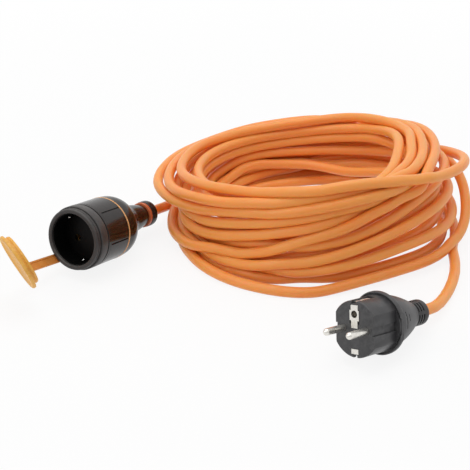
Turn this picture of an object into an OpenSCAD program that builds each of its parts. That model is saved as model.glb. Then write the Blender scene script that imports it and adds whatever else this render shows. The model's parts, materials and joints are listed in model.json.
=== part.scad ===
// Extension cord: an earthed two-pin plug, a coupler with a tethered closing cap, and the cord between
// them in a round coil. Millimetres, Z up. Everything lies on z = 0, as if put down on a floor.
// The coupler and the plug are each drawn in a frame of their own, with Z out of the front face and the
// face at z = 0, and are then laid on the floor by coupler_pose() and plug_pose().

/* [Cord] */
// Outer diameter of the cord
cord_d = 8; // [7:0.5:9]
// Outer diameter of one insulated core
core_d = 2.6; // [2.2:0.1:2.8]

/* [Coil] */
// Outer diameter of the coil
coil_d = 238; // [220:2:250]
// Width of the ring of turns, from inside to outside
coil_band_w = 38; // [30:1:44]
// Height of the coil
coil_h = 84; // [70:1:95]
// Rounding of the coil's edges
coil_round = 12; // [6:1:15]

/* [Contacts] */
// Diameter of a plug pin
pin_d = 4.8; // [4.6:0.1:5]
// Length of a plug pin outside the plug
pin_len = 19; // [17:0.5:21]
// Distance between the two pins
pin_pitch = 19; // [18.6:0.1:19.4]
// Height of the second earth contact's hole above the pins
earth_pin_y = 10; // [9.6:0.1:10.2]
// Thickness of the sheet metal contacts
sheet_t = 0.8; // [0.6:0.1:1]

/* [Coupler mouth] */
// Bore of the mouth's lip
mouth_d = 39.6; // [39:0.1:40.4]
// Depth of the mouth
mouth_depth = 17.5; // [16:0.5:19]
// Length of the lip in front of the socket insert
lip_len = 2.5; // [2:0.1:3]
// Outer diameter of the front ring
front_ring_d = 46.4; // [46:0.2:47.6]
// Length of the front ring
front_ring_len = 5; // [4.5:0.5:7]
// Outer diameter of the collar behind the front ring
collar_d = 48.8; // [48.4:0.2:50]
// Length of the collar
collar_len = 7.5; // [7:0.5:10]

/* [Coupler body] */
// Outer diameter of the grip
grip_d = 48.6; // [48:0.2:50]
// Length of the grip's front shell
grip_len = 24.6; // [23:0.5:30]
// Wall of the grip and of the rear cover
grip_wall = 1.9; // [1.5:0.1:2.4]
// Width of the dark grooves between the pieces
groove_w = 0.9; // [0.6:0.1:1.2]
// Width of the coloured ring between the shell and the rear cover
accent_w = 1.2; // [0.8:0.1:2]
// Length of the rear cover's straight rim
rear_rim = 4; // [3:0.5:8]
// Radius of the rear cover's rounded shoulder
shoulder_round = 19; // [14:0.5:22]
// Length of the cone between the shoulder and the neck
shoulder_cone = 9; // [7:0.5:12]
// Diameter of the neck at its root
neck_d = 20.4; // [18:0.2:22]
// Diameter of the flare at the neck's end
neck_end_d = 17.6; // [17.4:0.2:19]
// Length of the neck
neck_len = 16; // [13:1:22]

/* [Coupler gland] */
// Outer diameter of the gland ring
gland_ring_d = 20; // [18.6:0.2:21]
// Width of the gland ring
gland_ring_w = 2.8; // [2:0.2:4]
// Outer diameter of the union nut
nut_d = 20.6; // [19.6:0.2:22]
// Length of the union nut
nut_len = 8; // [7.5:0.5:12]

/* [Closing cap] */
// Diameter of the cap's flange
cap_d = 43; // [42:0.5:46]
// Thickness of the cap's flange
cap_t = 2.4; // [2:0.1:3]
// Length of the cap's spigot
spigot_len = 3.6; // [3:0.2:5]
// Width of the strap
strap_w = 7.2; // [6:0.2:8]
// Thickness of the strap
strap_t = 1.6; // [1.2:0.1:2]
// Distance of the cap's hinge in front of the mouth
cap_reach = 40.5; // [32:0.5:44]
// Where the strap sits around the coupler, in degrees from the right as seen from the front
strap_angle = 203; // [180:1:210]
// How far the strap leans in towards the coupler's axis, in degrees
strap_lean = 4; // [0:1:8]
// How far the cap stands open, in degrees
cap_open = 45; // [30:1:90]

/* [Plug front] */
// Diameter of the plug's front block
plug_d = 38; // [37.4:0.2:38.8]
// Width of the front block across its flats
plug_flat_w = 31.4; // [31:0.2:33]
// Length of the front block
plug_front_len = 23; // [22:0.5:25]
// Width of the guide channels in the flats
channel_w = 6; // [5:0.2:6.4]
// Depth of the guide channels
channel_depth = 1.2; // [0.8:0.1:1.2]
// Width of the grooves for the earth strip
earth_groove_w = 6.2; // [6:0.1:6.6]

/* [Plug rear] */
// Diameter of the flange
flange_d = 43; // [42:0.2:45]
// Width of the flange across its flats
flange_flat_w = 38; // [37:0.5:41]
// Thickness of the flange
flange_t = 3.5; // [3:0.1:4.5]
// Length of the cone behind the flange
cone_len = 29.5; // [26:0.5:34]
// Diameter of the strain relief
relief_d = 18; // [16:0.5:19]
// Length of the strain relief outside the cone
relief_len = 15; // [14:0.5:20]

/* [Placement] */
// Turn of the coupler to the left, seen from above
coupler_yaw = 32; // [25:1:40]
// How far the coupler's nose is raised
coupler_tilt = 9; // [7:0.5:11]
// Roll of the coupler about its own axis
coupler_roll = 26.5; // [15:0.5:35]
// Turn of the plug to the left, seen from above
plug_yaw = 46.6; // [42:0.2:52]
// How far the plug's nose is raised
plug_tilt = 11.3; // [9:0.1:13]
// Roll of the plug about its own axis
plug_roll = 14.5; // [5:0.5:20]

/* [Hidden] */
$fn = 96;

// Colours
orange = [0.93, 0.45, 0.16];
cap_orange = [0.93, 0.58, 0.18];
soft_black = [0.26, 0.26, 0.28];
gloss_black = [0.13, 0.10, 0.10];
rubber_grey = [0.30, 0.30, 0.31];
nickel = [0.80, 0.79, 0.76];
brass = [0.80, 0.66, 0.35];
core_brown = [0.40, 0.22, 0.10];
core_blue = [0.15, 0.30, 0.75];
core_green = [0.30, 0.60, 0.20];

// Clearances
fit = 0.1;          // between pieces that are pressed or clamped together
turn_gap = 0.3;     // between pieces that turn or swing past each other
face_gap = 0.2;     // between a turning piece and the flat face beside it
bore_fit = 0.05;    // around a pin in its sleeve or hole
eps = 0.01;

// Where the coupler's face, the plug's face and the coil's middle lie
coupler_place = [-129.4, -33.9];
plug_place = [68, -155.1];
coil_place = [56.8, 56.4];

// Coupler, along its axis from the face backwards
step_z = -front_ring_len;
collar_back_z = step_z - collar_len;
grip_z = collar_back_z - groove_w;
accent_z = grip_z - grip_len;
rear_z = accent_z - accent_w;
rim_z = rear_z - rear_rim;
shoulder_sweep = 42;
shoulder_z = rim_z - shoulder_round * sin(shoulder_sweep);
neck_root_z = shoulder_z - shoulder_cone;
neck_fillet = 4;
neck_z = neck_root_z - neck_fillet;
neck_end_z = neck_z - neck_len;
gland_z = neck_end_z - groove_w;
nut_z = gland_z - gland_ring_w - face_gap;
nut_end_z = nut_z - nut_len;

// Coupler, radii
mouth_r = mouth_d / 2;
socket_r = mouth_r - 0.5;
insert_r = socket_r + 1.7;
band_t = 1.2;
band_r = insert_r + fit + band_t;
grip_r = grip_d / 2;
rear_r = grip_r - 0.1;
cavity_r = grip_r - grip_wall;
neck_r = neck_d / 2;
groove_depth = 0.8;
cord_r = cord_d / 2;
bush_r = cord_r + fit + 1.6;
spigot_r = bush_r + fit + 1.6;
nut_r = nut_d / 2;
nut_floor = 3.1;
washer_t = 0.8;
spigot_end_z = nut_end_z + nut_floor + washer_t + 2 * face_gap;
bush_len = 13;

// Contacts
pin_r = pin_d / 2;
pin_root_r = pin_r - 0.2;
root_bore_r = pin_root_r + bore_fit;
sleeve_r = pin_r + bore_fit;
contact_wall = 0.85;
contact_r = sleeve_r + contact_wall;
contact_x = pin_pitch / 2;
entry_floor = 2.5;
contact_front_z = -mouth_depth - entry_floor - fit;
tube_seat_len = 16;
insert_back_z = contact_front_z - tube_seat_len;
block_len = 9;
block_w = 8;
block_back_z = insert_back_z - fit - block_len;
bore_past_seat = 3;
bore_end_z = insert_back_z - bore_past_seat;
wire_hole_r = core_d / 2 + fit;
screw_r = 1.5;
screw_inset = 3;
screw_z = block_back_z + screw_inset;
leg_y = socket_r - 1.5;
leg_w = 6;
earth_block_w = 7;
earth_block_y = 9;
cross_z = insert_back_z - 0.8 - fit;
jacket_end_z = neck_z + 1.5;

// Tether and cap
strap_r = collar_d / 2 + 0.4 + strap_t / 2;
barrel_r = strap_t / 2;
root_z = -4.6;
cap_r = cap_d / 2;
hinge_reach = 1.5;
spigot_r_cap = socket_r - 0.4;
lug_w = strap_w;

// Plug, along its axis from the face backwards
plug_r = plug_d / 2;
flange_z = -plug_front_len;
cone_z = flange_z - flange_t;
cone_end_z = cone_z - cone_len;
relief_end_z = cone_end_z - relief_len;
relief_r = relief_d / 2;
relief_spigot_r = cord_r + 2.1;
relief_spigot_len = 6;
channel_floor = plug_flat_w / 2 - channel_depth;
bridge_cavity_r = channel_floor - 0.9;
front_wall = 4;
bridge_t = 8;
groove_floor_y = plug_r - 2.2;
strip_y = groove_floor_y + fit;
strip_w = earth_groove_w - 0.4;
strip_back_z = -17;
plate_rise = 0.25;
tail_r = 1.5;
tail_end_z = -18;
crimp_r = 2.1;
crimp_bore_r = tail_r + bore_fit;
crimp_front_z = -14;
crimp_len = 7;
plug_jacket_z = cone_end_z + relief_spigot_len - 1;

// The height at which each piece just touches the floor
coupler_h = max([for (p = rear_outline()) -p[1] * sin(coupler_tilt) + p[0] * cos(coupler_tilt)]);
plug_h = -cone_z * sin(plug_tilt) + flange_d / 2 * cos(plug_tilt);

// Unit vector out of a face that is turned by yaw and raised by tilt
function face_dir(yaw, tilt) = [-sin(yaw) * cos(tilt), -cos(yaw) * cos(tilt), sin(tilt)];
coupler_pos = [coupler_place[0], coupler_place[1], coupler_h];
plug_pos = [plug_place[0], plug_place[1], plug_h];
coupler_dir = face_dir(coupler_yaw, coupler_tilt);
plug_dir = face_dir(plug_yaw, plug_tilt);

// The cord's way from the coupler's nut to the coil, and from the plug's strain relief to the coil
cord_sides = 12;
coupler_route = [[-70.7, 60.1, 13.3], [-65.8, 68.3, 11.7], [-61.6, 76.5, 10.2], [-57.6, 85, 9.1], [-54, 93.5, 8.5]];
plug_route = [
    [124.6, -101.3, 10.6], [130.6, -93.5, 8.3], [136, -83.6, 6.2], [141, -73, 4.8], [146, -61.5, 4.3],
    [151, -48, 4.2], [155, -33.5, 4.2], [157.6, -19, 4.2], [158.9, -5, 4.2], [158.4, 6, 4.2]
];

// Points of an arc, in radius and height
function arc(r, z, rad, from, to, steps = 8) =
    [for (i = [0:steps]) let (a = from + (to - from) * i / steps) [r + rad * cos(a), z + rad * sin(a)]];

function unit(v) = v / norm(v);

// The rear cover's outside, from its front edge to the groove behind the neck
function rear_outline() = concat(
    [[rear_r, rear_z]],
    arc(rear_r - shoulder_round, rim_z, shoulder_round, 0, -shoulder_sweep, 10),
    [
        [neck_r + 1.4, neck_root_z],
        [neck_r + 0.4, neck_root_z - neck_fillet * 0.4],
        [neck_r, neck_z],
        [neck_end_d / 2, neck_end_z]
    ]
);

// Outline of a sheet metal strip of thickness t along the points p
function strip_normal(p, i) =
    let (a = p[max(i - 1, 0)], b = p[min(i + 1, len(p) - 1)], d = unit(b - a)) [-d[1], d[0]];
function strip_outline(p, t) = concat(
    [for (i = [0:len(p) - 1]) p[i] + strip_normal(p, i) * t / 2],
    [for (i = [len(p) - 1:-1:0]) p[i] - strip_normal(p, i) * t / 2]
);

module coupler_pose() {
    translate(coupler_pos) rotate([90 - coupler_tilt, 0, -coupler_yaw]) rotate([0, 0, coupler_roll]) children();
}

module plug_pose() {
    translate(plug_pos) rotate([90 - plug_tilt, 0, -plug_yaw]) rotate([0, 0, plug_roll]) children();
}

// A ring about Z between two heights
module ring(outer, inner, top, bottom) {
    difference() {
        translate([0, 0, bottom]) cylinder(r = outer, h = top - bottom);
        translate([0, 0, bottom - 1]) cylinder(r = inner, h = top - bottom + 2);
    }
}

module rod(x, y, r, top, bottom) {
    translate([x, y, bottom]) cylinder(r = r, h = top - bottom, $fn = 48);
}

module block(x0, x1, y0, y1, z0, z1) {
    translate([x0, y0, z0]) cube([x1 - x0, y1 - y0, z1 - z0]);
}

// A tube along points, with a ring of sides at every point; across is any direction it never runs in
module sweep(points, r, sides, across = [0, 0, 1]) {
    last = len(points) - 1;
    rings = [
        for (i = [0:last])
            let (
                t = unit(points[min(i + 1, last)] - points[max(i - 1, 0)]),
                s = unit(cross(t, across)),
                u = cross(s, t)
            )
            for (k = [0:sides - 1]) points[i] + r * (cos(360 * k / sides) * s + sin(360 * k / sides) * u)
    ];
    walls = [
        for (i = [0:last - 1], k = [0:sides - 1])
            let (m = (k + 1) % sides) [i * sides + k, i * sides + m, (i + 1) * sides + m, (i + 1) * sides + k]
    ];
    ends = [[for (k = [sides - 1:-1:0]) k], [for (k = [0:sides - 1]) last * sides + k]];
    polyhedron(points = rings, faces = concat(walls, ends));
}

// A core that runs straight from height top, eases across from one point to the other, and runs straight
// again to height bottom; its bends lie between heights bend_top and bend_bottom
module core(from, to, top, bottom, bend_top, bend_bottom) {
    steps = 10;
    bend = [for (i = [0:steps]) let (t = i / steps, e = t * t * (3 - 2 * t)) [
        from[0] + (to[0] - from[0]) * e, from[1] + (to[1] - from[1]) * e, bend_top + (bend_bottom - bend_top) * t
    ]];
    sweep(concat([[from[0], from[1], top]], bend, [[to[0], to[1], bottom]]), core_d / 2, 10, [-to[1], to[0], 0]);
}

// Where a core leaves the jacket
function core_root(angle) = 1.6 * [cos(angle), sin(angle)];

// ---- cord ----

module cord_coil() {
    inner_r = coil_d / 2 - coil_band_w;
    outer_r = coil_d / 2;
    color(orange) translate([coil_place[0], coil_place[1], 0]) rotate_extrude()
        polygon(concat(
            arc(outer_r - coil_round, coil_round, coil_round, -90, 0),
            arc(outer_r - coil_round, coil_h - coil_round, coil_round, 0, 90),
            arc(inner_r + coil_round, coil_h - coil_round, coil_round, 90, 180),
            arc(inner_r + coil_round, coil_round, coil_round, 180, 270)
        ));
}

module cord_run_coupler() {
    inside = [for (z = [jacket_end_z, neck_end_z, nut_end_z]) coupler_pos + coupler_dir * z];
    color(orange) sweep(concat(inside, coupler_route), cord_r, cord_sides);
}

module cord_run_plug() {
    inside = [for (z = [plug_jacket_z, relief_end_z]) plug_pos + plug_dir * z];
    color(orange) sweep(concat(inside, plug_route), cord_r, cord_sides);
}

// ---- coupler ----

module coupler_collar() {
    edge = 1.3;
    front_r = front_ring_d / 2;
    collar_r = collar_d / 2;
    color(soft_black) coupler_pose() difference() {
        rotate_extrude() polygon(concat(
            [[mouth_r, -lip_len], [mouth_r, -edge]],
            arc(mouth_r + edge, -edge, edge, 180, 90, 4),
            arc(front_r - edge, -edge, edge, 90, 0, 5),
            [[front_r, step_z], [collar_r - 0.8, step_z]],
            arc(collar_r - 0.8, step_z - 0.8, 0.8, 90, 0, 4),
            [[collar_r, collar_back_z], [band_r + fit, collar_back_z], [band_r + fit, step_z - 0.5],
             [insert_r + fit, step_z - 0.5], [insert_r + fit, -lip_len]]
        ));
        rotate([0, 0, strap_angle])
            block(insert_r, collar_r + 1, -lug_w / 2 - fit, lug_w / 2 + fit, collar_back_z - 1, step_z - 1);
    }
}

module contact_insert() {
    slot_w = leg_w + 2 * fit;
    color(gloss_black) coupler_pose() difference() {
        translate([0, 0, insert_back_z]) cylinder(r = insert_r, h = -insert_back_z - lip_len - fit);
        translate([0, 0, -mouth_depth]) cylinder(r = socket_r, h = mouth_depth);
        for (x = [-contact_x, contact_x]) {
            rod(x, 0, pin_r + 0.3, 0, -mouth_depth - entry_floor - 1);
            rod(x, 0, contact_r + fit, -mouth_depth - entry_floor, insert_back_z - 1);
        }
        for (s = [-1, 1]) translate([0, s * leg_y, 0])
            block(-slot_w / 2, slot_w / 2, -sheet_t / 2 - fit, sheet_t / 2 + fit, insert_back_z - 1, -mouth_depth + 1);
    }
}

// A contact tube with its terminal block behind the insert
module contact_tube(x) {
    color(brass) coupler_pose() difference() {
        union() {
            rod(x, 0, contact_r, contact_front_z, insert_back_z - fit - 1);
            block(x - block_w / 2, x + block_w / 2, -block_w / 2, block_w / 2, block_back_z, insert_back_z - fit);
        }
        rod(x, 0, sleeve_r, contact_front_z + 1, bore_end_z);
        rod(x, 0, wire_hole_r, bore_end_z - 1, block_back_z - 1);
        translate([x, 0, screw_z]) rotate([-90, 0, 0]) cylinder(r = screw_r + bore_fit, h = block_w, $fn = 48);
    }
}

module contact_tube_live() { contact_tube(contact_x); }

module contact_tube_neutral() { contact_tube(-contact_x); }

module earth_bracket() {
    tip_in = 2.6;
    leg = [[leg_y, cross_z], [leg_y, -12], [leg_y - tip_in, -6.5], [leg_y - 0.5, -3.6]];
    back = earth_block_w / 2;
    color(nickel) coupler_pose() difference() {
        union() {
            for (m = [0, 1]) mirror([0, m, 0]) rotate([90, 0, 90])
                linear_extrude(height = leg_w, center = true) polygon(strip_outline(leg, sheet_t));
            block(-leg_w / 2, leg_w / 2, -leg_y - sheet_t / 2, leg_y + sheet_t / 2,
                  cross_z - sheet_t / 2, cross_z + sheet_t / 2);
            block(-back, back, earth_block_y - back, earth_block_y + back, block_back_z, cross_z);
        }
        rod(0, earth_block_y, wire_hole_r, cross_z - 3, block_back_z - 1);
        translate([0, earth_block_y, screw_z]) rotate([-90, 0, 0])
            cylinder(r = screw_r + bore_fit, h = earth_block_w, $fn = 48);
    }
}

// A slotted screw along +Y from the wire at y = base to its head on the block's side at y = seat
module terminal_screw(x, base, seat) {
    head_r = 2.3;
    head_t = 1.5;
    translate([x, 0, screw_z]) rotate([-90, 0, 0]) difference() {
        union() {
            translate([0, 0, base]) cylinder(r = screw_r, h = seat + head_t - base, $fn = 48);
            translate([0, 0, seat]) cylinder(r = head_r, h = head_t, $fn = 48);
        }
        translate([-head_r - 1, -0.4, seat + head_t - 0.7]) cube([2 * head_r + 2, 0.8, 1]);
    }
}

module terminal_screws() {
    base = core_d / 2;
    color(nickel) coupler_pose() {
        for (x = [-contact_x, contact_x]) terminal_screw(x, base, block_w / 2);
        terminal_screw(0, earth_block_y + base, earth_block_y + earth_block_w / 2);
    }
}

module tether_band() {
    lug_front_z = root_z - barrel_r - turn_gap;
    color(cap_orange) coupler_pose() {
        ring(band_r, insert_r + fit, step_z - 0.5 - fit, collar_back_z + fit);
        rotate([0, 0, strap_angle]) block(band_r - 0.4, strap_r + strap_t / 2, -lug_w / 2, lug_w / 2,
                                          collar_back_z + fit, min(lug_front_z, step_z - 1 - fit));
    }
}

// At the strap's root, leaning as the strap does
module strap_pose() {
    coupler_pose() rotate([0, 0, strap_angle]) translate([strap_r, 0, root_z]) rotate([0, -strap_lean, 0]) children();
}

module cap_strap() {
    strap_len = cap_reach - root_z - barrel_r - turn_gap;
    color(orange) strap_pose() {
        rotate([90, 0, 0]) cylinder(r = barrel_r, h = strap_w, center = true, $fn = 32);
        block(-strap_t / 2, strap_t / 2, -strap_w / 2, strap_w / 2, 0, strap_len);
    }
}

module mouth_cap() {
    middle = -cap_r - hinge_reach;
    edge = 0.7;
    color(cap_orange) strap_pose() translate([0, 0, cap_reach - root_z]) rotate([0, cap_open, 0]) {
        rotate([90, 0, 0]) cylinder(r = barrel_r, h = strap_w, center = true, $fn = 32);
        block(-hinge_reach - 2, 0, -strap_w / 2, strap_w / 2, -strap_t / 2, strap_t / 2);
        translate([middle, 0, 0]) rotate_extrude() polygon([
            [0, cap_t / 2], [cap_r - edge, cap_t / 2], [cap_r, cap_t / 2 - edge], [cap_r, -cap_t / 2],
            [spigot_r_cap, -cap_t / 2], [spigot_r_cap, -cap_t / 2 - spigot_len + edge],
            [spigot_r_cap - edge, -cap_t / 2 - spigot_len], [0, -cap_t / 2 - spigot_len]
        ]);
    }
}

module grip_shell() {
    seat_len = 4;
    seam_w = 0.8;
    seam_depth = 0.5;
    color(gloss_black) coupler_pose() difference() {
        rotate_extrude() polygon([
            [grip_r - groove_depth, collar_back_z], [grip_r - groove_depth, grip_z], [grip_r - 0.3, grip_z],
            [grip_r, grip_z - 0.3], [grip_r, accent_z], [cavity_r, accent_z], [cavity_r, grip_z - seat_len],
            [insert_r + fit, grip_z - seat_len], [insert_r + fit, collar_back_z]
        ]);
        for (a = [-30:60:300]) rotate([0, 0, a])
            block(grip_r - seam_depth, grip_r + 1, -seam_w / 2, seam_w / 2, accent_z - 1, grip_z - 3);
    }
}

module accent_ring() {
    color(orange) coupler_pose() ring(grip_r + 0.1, cavity_r, accent_z, rear_z);
}

module rear_cover() {
    bore = bush_r + fit;
    shoulder_in = rear_r - shoulder_round * (1 - cos(shoulder_sweep)) - 3;
    color(gloss_black) coupler_pose() rotate_extrude() polygon(concat(
        rear_outline(),
        [
            [spigot_r + 0.9, neck_end_z], [spigot_r + 0.9, gland_z], [spigot_r, gland_z], [spigot_r, spigot_end_z],
            [bore, spigot_end_z], [bore, neck_root_z - 1], [neck_r - 0.4, neck_root_z + 2],
            [shoulder_in, shoulder_z], [(shoulder_in + cavity_r) / 2 + 1, (shoulder_z + rim_z) / 2],
            [cavity_r, rim_z], [cavity_r, rear_z]
        ]
    ));
}

module gland_ring() {
    color(orange) coupler_pose() ring(gland_ring_d / 2, spigot_r + fit, gland_z, gland_z - gland_ring_w);
}

module gland_bush() {
    color(rubber_grey) coupler_pose() ring(bush_r, cord_r + fit, spigot_end_z + bush_len, spigot_end_z);
}

module gland_washer() {
    color(nickel) coupler_pose()
        ring(spigot_r - 0.3, cord_r + turn_gap, spigot_end_z - eps, spigot_end_z - washer_t);
}

module union_nut() {
    bore = spigot_r + turn_gap;
    cord_hole = cord_r + 0.4;
    tail_round = 3.2;
    floor_z = spigot_end_z - washer_t - face_gap;
    color(gloss_black) coupler_pose() rotate_extrude() polygon(concat(
        [[bore, nut_z]],
        arc(nut_r - 0.8, nut_z - 0.8, 0.8, 90, 0, 4),
        arc(nut_r - tail_round, nut_end_z + tail_round, tail_round, 0, -90, 8),
        [[cord_hole, nut_end_z], [cord_hole, floor_z], [bore, floor_z]]
    ));
}

// The three cores leave the jacket side by side and part to their terminals
module coupler_core(angle, to) {
    coupler_pose() core(core_root(angle), to, jacket_end_z + fit, block_back_z + 4, neck_root_z, block_back_z - 2);
}

module coupler_core_live() { color(core_brown) coupler_core(-30, [contact_x, 0]); }

module coupler_core_neutral() { color(core_blue) coupler_core(210, [-contact_x, 0]); }

module coupler_core_earth() { color(core_green) coupler_core(90, [0, earth_block_y]); }

// ---- plug ----

module plug_front() {
    edge = 1;
    far = plug_d;
    color(soft_black) plug_pose() difference() {
        intersection() {
            rotate_extrude() polygon([
                [0, 0], [plug_r - edge, 0], [plug_r, -edge], [plug_r, flange_z], [0, flange_z]
            ]);
            block(-plug_flat_w / 2, plug_flat_w / 2, -far, far, flange_z - 1, 1);
        }
        translate([0, 0, flange_z - 1]) cylinder(r = bridge_cavity_r, h = plug_front_len - front_wall + 1);
        for (s = [-1, 1]) {
            rod(s * contact_x, 0, root_bore_r, 1, -front_wall - 1);
            mirror([s > 0 ? 1 : 0, 0, 0])
                block(-far, -channel_floor, -channel_w / 2, channel_w / 2, flange_z - 1, 1);
            mirror([0, s > 0 ? 1 : 0, 0]) {
                block(-earth_groove_w / 2, earth_groove_w / 2, -far, -groove_floor_y, strip_back_z - 1, 1);
                block(-earth_groove_w / 2, earth_groove_w / 2, -far, 0, strip_back_z - fit, strip_back_z + sheet_t + fit);
            }
        }
        rod(0, earth_pin_y, earth_sleeve_outer() + bore_fit, 1, -front_wall - 1);
        block(-4, 4, 0.6, plug_r, plate_rise - sheet_t, 1);
        block(-earth_groove_w / 2, earth_groove_w / 2, -plug_r, -lip_y() + fit, plate_rise - sheet_t, 1);
    }
}

function earth_sleeve_outer() = sleeve_r + 0.5;

// Inner edge of the lower earth contact's lip on the face, below the pins
function lip_y() = plug_r - 5.7;

module plug_rear() {
    edge = 1.2;
    waist = 0.72;
    flange_r = flange_d / 2;
    mouth = relief_spigot_r + fit;
    color(soft_black) plug_pose() difference() {
        union() {
            intersection() {
                rotate_extrude() polygon([
                    [0, flange_z], [flange_r - edge, flange_z], [flange_r, flange_z - edge],
                    [flange_r, cone_z + edge / 2], [flange_r - edge, cone_z], [0, cone_z]
                ]);
                block(-flange_flat_w / 2, flange_flat_w / 2, -flange_d, flange_d, cone_z - 1, flange_z + 1);
            }
            rotate_extrude() polygon(concat(
                [[0, cone_z + 1], [flange_flat_w / 2 - 0.4, cone_z + 1], [flange_flat_w / 2 - 0.4, cone_z]],
                [for (i = [1:12]) let (t = i / 12)
                    [relief_r + 0.4 + (flange_flat_w / 2 - 0.8 - relief_r) * (1 - pow(t, 1.6)), cone_z - cone_len * t]],
                [[0, cone_end_z]]
            ));
        }
        rotate_extrude() polygon([
            [0, flange_z + 1], [bridge_cavity_r, flange_z + 1], [bridge_cavity_r, cone_z - 4],
            [mouth + 2, cone_end_z + relief_spigot_len + 4], [mouth, cone_end_z + relief_spigot_len],
            [mouth, cone_end_z - 1], [0, cone_end_z - 1]
        ]);
    }
}

module plug_bridge() {
    bridge_r = bridge_cavity_r - fit;
    color(rubber_grey) plug_pose() difference() {
        translate([0, 0, -front_wall - bridge_t]) cylinder(r = bridge_r, h = bridge_t);
        for (x = [-contact_x, contact_x]) rod(x, 0, root_bore_r, 0, -front_wall - bridge_t - 1);
        rod(0, earth_pin_y, earth_sleeve_outer() + bore_fit, 0, -front_wall - bridge_t - 1);
    }
}

// A pin has its full diameter in front of the face and a thinner root in the plug
module plug_pin(x) {
    tip = 1.4;
    shank_z = -front_wall - bridge_t - 1;
    color(nickel) plug_pose() translate([x, 0, 0]) rotate_extrude($fn = 64) polygon(concat(
        [[0, tail_end_z], [tail_r, tail_end_z], [tail_r, shank_z], [pin_root_r, shank_z],
         [pin_root_r, bore_fit], [pin_r, bore_fit]],
        arc(pin_r - tip, pin_len - tip, tip, 0, 90, 6),
        [[0, pin_len]]
    ));
}

module plug_pin_live() { plug_pin(contact_x); }

module plug_pin_neutral() { plug_pin(-contact_x); }

// One strip: the plate on the face, the side contacts above and below, and the bar between them
module earth_strip() {
    half = strip_w / 2;
    front_z = plate_rise;
    color(nickel) plug_pose() difference() {
        union() {
            block(-half + 0.3, half - 0.3, 0.8, 5, front_z - sheet_t, front_z);
            block(-3.8, 3.8, 4.6, 12.6, front_z - sheet_t, front_z);
            block(-half, half, 12, strip_y + sheet_t, front_z - sheet_t, front_z);
            block(-half, half, -strip_y - sheet_t, -lip_y(), front_z - sheet_t, front_z);
            for (m = [0, 1]) mirror([0, m, 0])
                block(-half, half, strip_y, strip_y + sheet_t, strip_back_z, front_z);
            block(-half, half, -strip_y - sheet_t, strip_y + sheet_t, strip_back_z, strip_back_z + sheet_t);
        }
        rod(0, earth_pin_y, sleeve_r, 2, -3);
    }
}

module earth_sleeve() {
    color(nickel) plug_pose() difference() {
        rod(0, earth_pin_y, earth_sleeve_outer(), plate_rise - sheet_t - fit, -14);
        rod(0, earth_pin_y, sleeve_r, 1, -13);
    }
}

module plug_crimps() {
    earth_front_z = strip_back_z - fit;
    color(brass) plug_pose() {
        for (x = [-contact_x, contact_x]) translate([x, 0, 0])
            ring(crimp_r, crimp_bore_r, crimp_front_z, crimp_front_z - crimp_len, $fn = 48);
        translate([0, -earth_block_y / 2, 0]) difference() {
            rod(0, 0, crimp_r, earth_front_z, earth_front_z - crimp_len);
            rod(0, 0, crimp_bore_r, earth_front_z - 2, earth_front_z - crimp_len - 1);
        }
    }
}

module strain_relief() {
    slot_w = 1.2;
    slot_step = 3;
    slot_floor = cord_r + 2;
    wedge = relief_d;
    color(rubber_grey) plug_pose() difference() {
        rotate_extrude() polygon(concat(
            [[cord_r + fit, cone_end_z + relief_spigot_len], [relief_spigot_r, cone_end_z + relief_spigot_len],
             [relief_spigot_r, cone_end_z]],
            [[relief_r, cone_end_z]],
            arc(relief_r - 4, relief_end_z + 4, 4, 0, -90, 8),
            [[cord_r + fit, relief_end_z]]
        ));
        for (i = [0:2], a = [45:90:315]) rotate([0, 0, a]) intersection() {
            ring(relief_r + 1, slot_floor, cone_end_z - 2 - i * slot_step, cone_end_z - 2 - i * slot_step - slot_w);
            rotate([0, 0, -45]) translate([1.6, 1.6, relief_end_z]) cube([wedge, wedge, relief_len]);
        }
    }
}

module plug_core(angle, to, end_z) {
    plug_pose() core(core_root(angle), to, plug_jacket_z + fit, end_z, plug_jacket_z + 2, end_z - 5);
}

module plug_core_live() { color(core_brown) plug_core(30, [contact_x, 0], tail_end_z - fit); }

module plug_core_neutral() { color(core_blue) plug_core(150, [-contact_x, 0], tail_end_z - fit); }

module plug_core_earth() { color(core_green) plug_core(-90, [0, -earth_block_y / 2], strip_back_z - 2.5); }

cord_coil();
cord_run_coupler();
cord_run_plug();
coupler_collar();
contact_insert();
contact_tube_live();
contact_tube_neutral();
earth_bracket();
terminal_screws();
tether_band();
cap_strap();
mouth_cap();
grip_shell();
accent_ring();
rear_cover();
gland_ring();
gland_bush();
gland_washer();
union_nut();
coupler_core_live();
coupler_core_neutral();
coupler_core_earth();
plug_front();
plug_rear();
plug_bridge();
plug_pin_live();
plug_pin_neutral();
earth_strip();
earth_sleeve();
plug_crimps();
strain_relief();
plug_core_live();
plug_core_neutral();
plug_core_earth();
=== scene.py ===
import json
from math import cos, pi, radians, sin

import bpy
import numpy as np
from mathutils import Matrix, Vector


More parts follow.
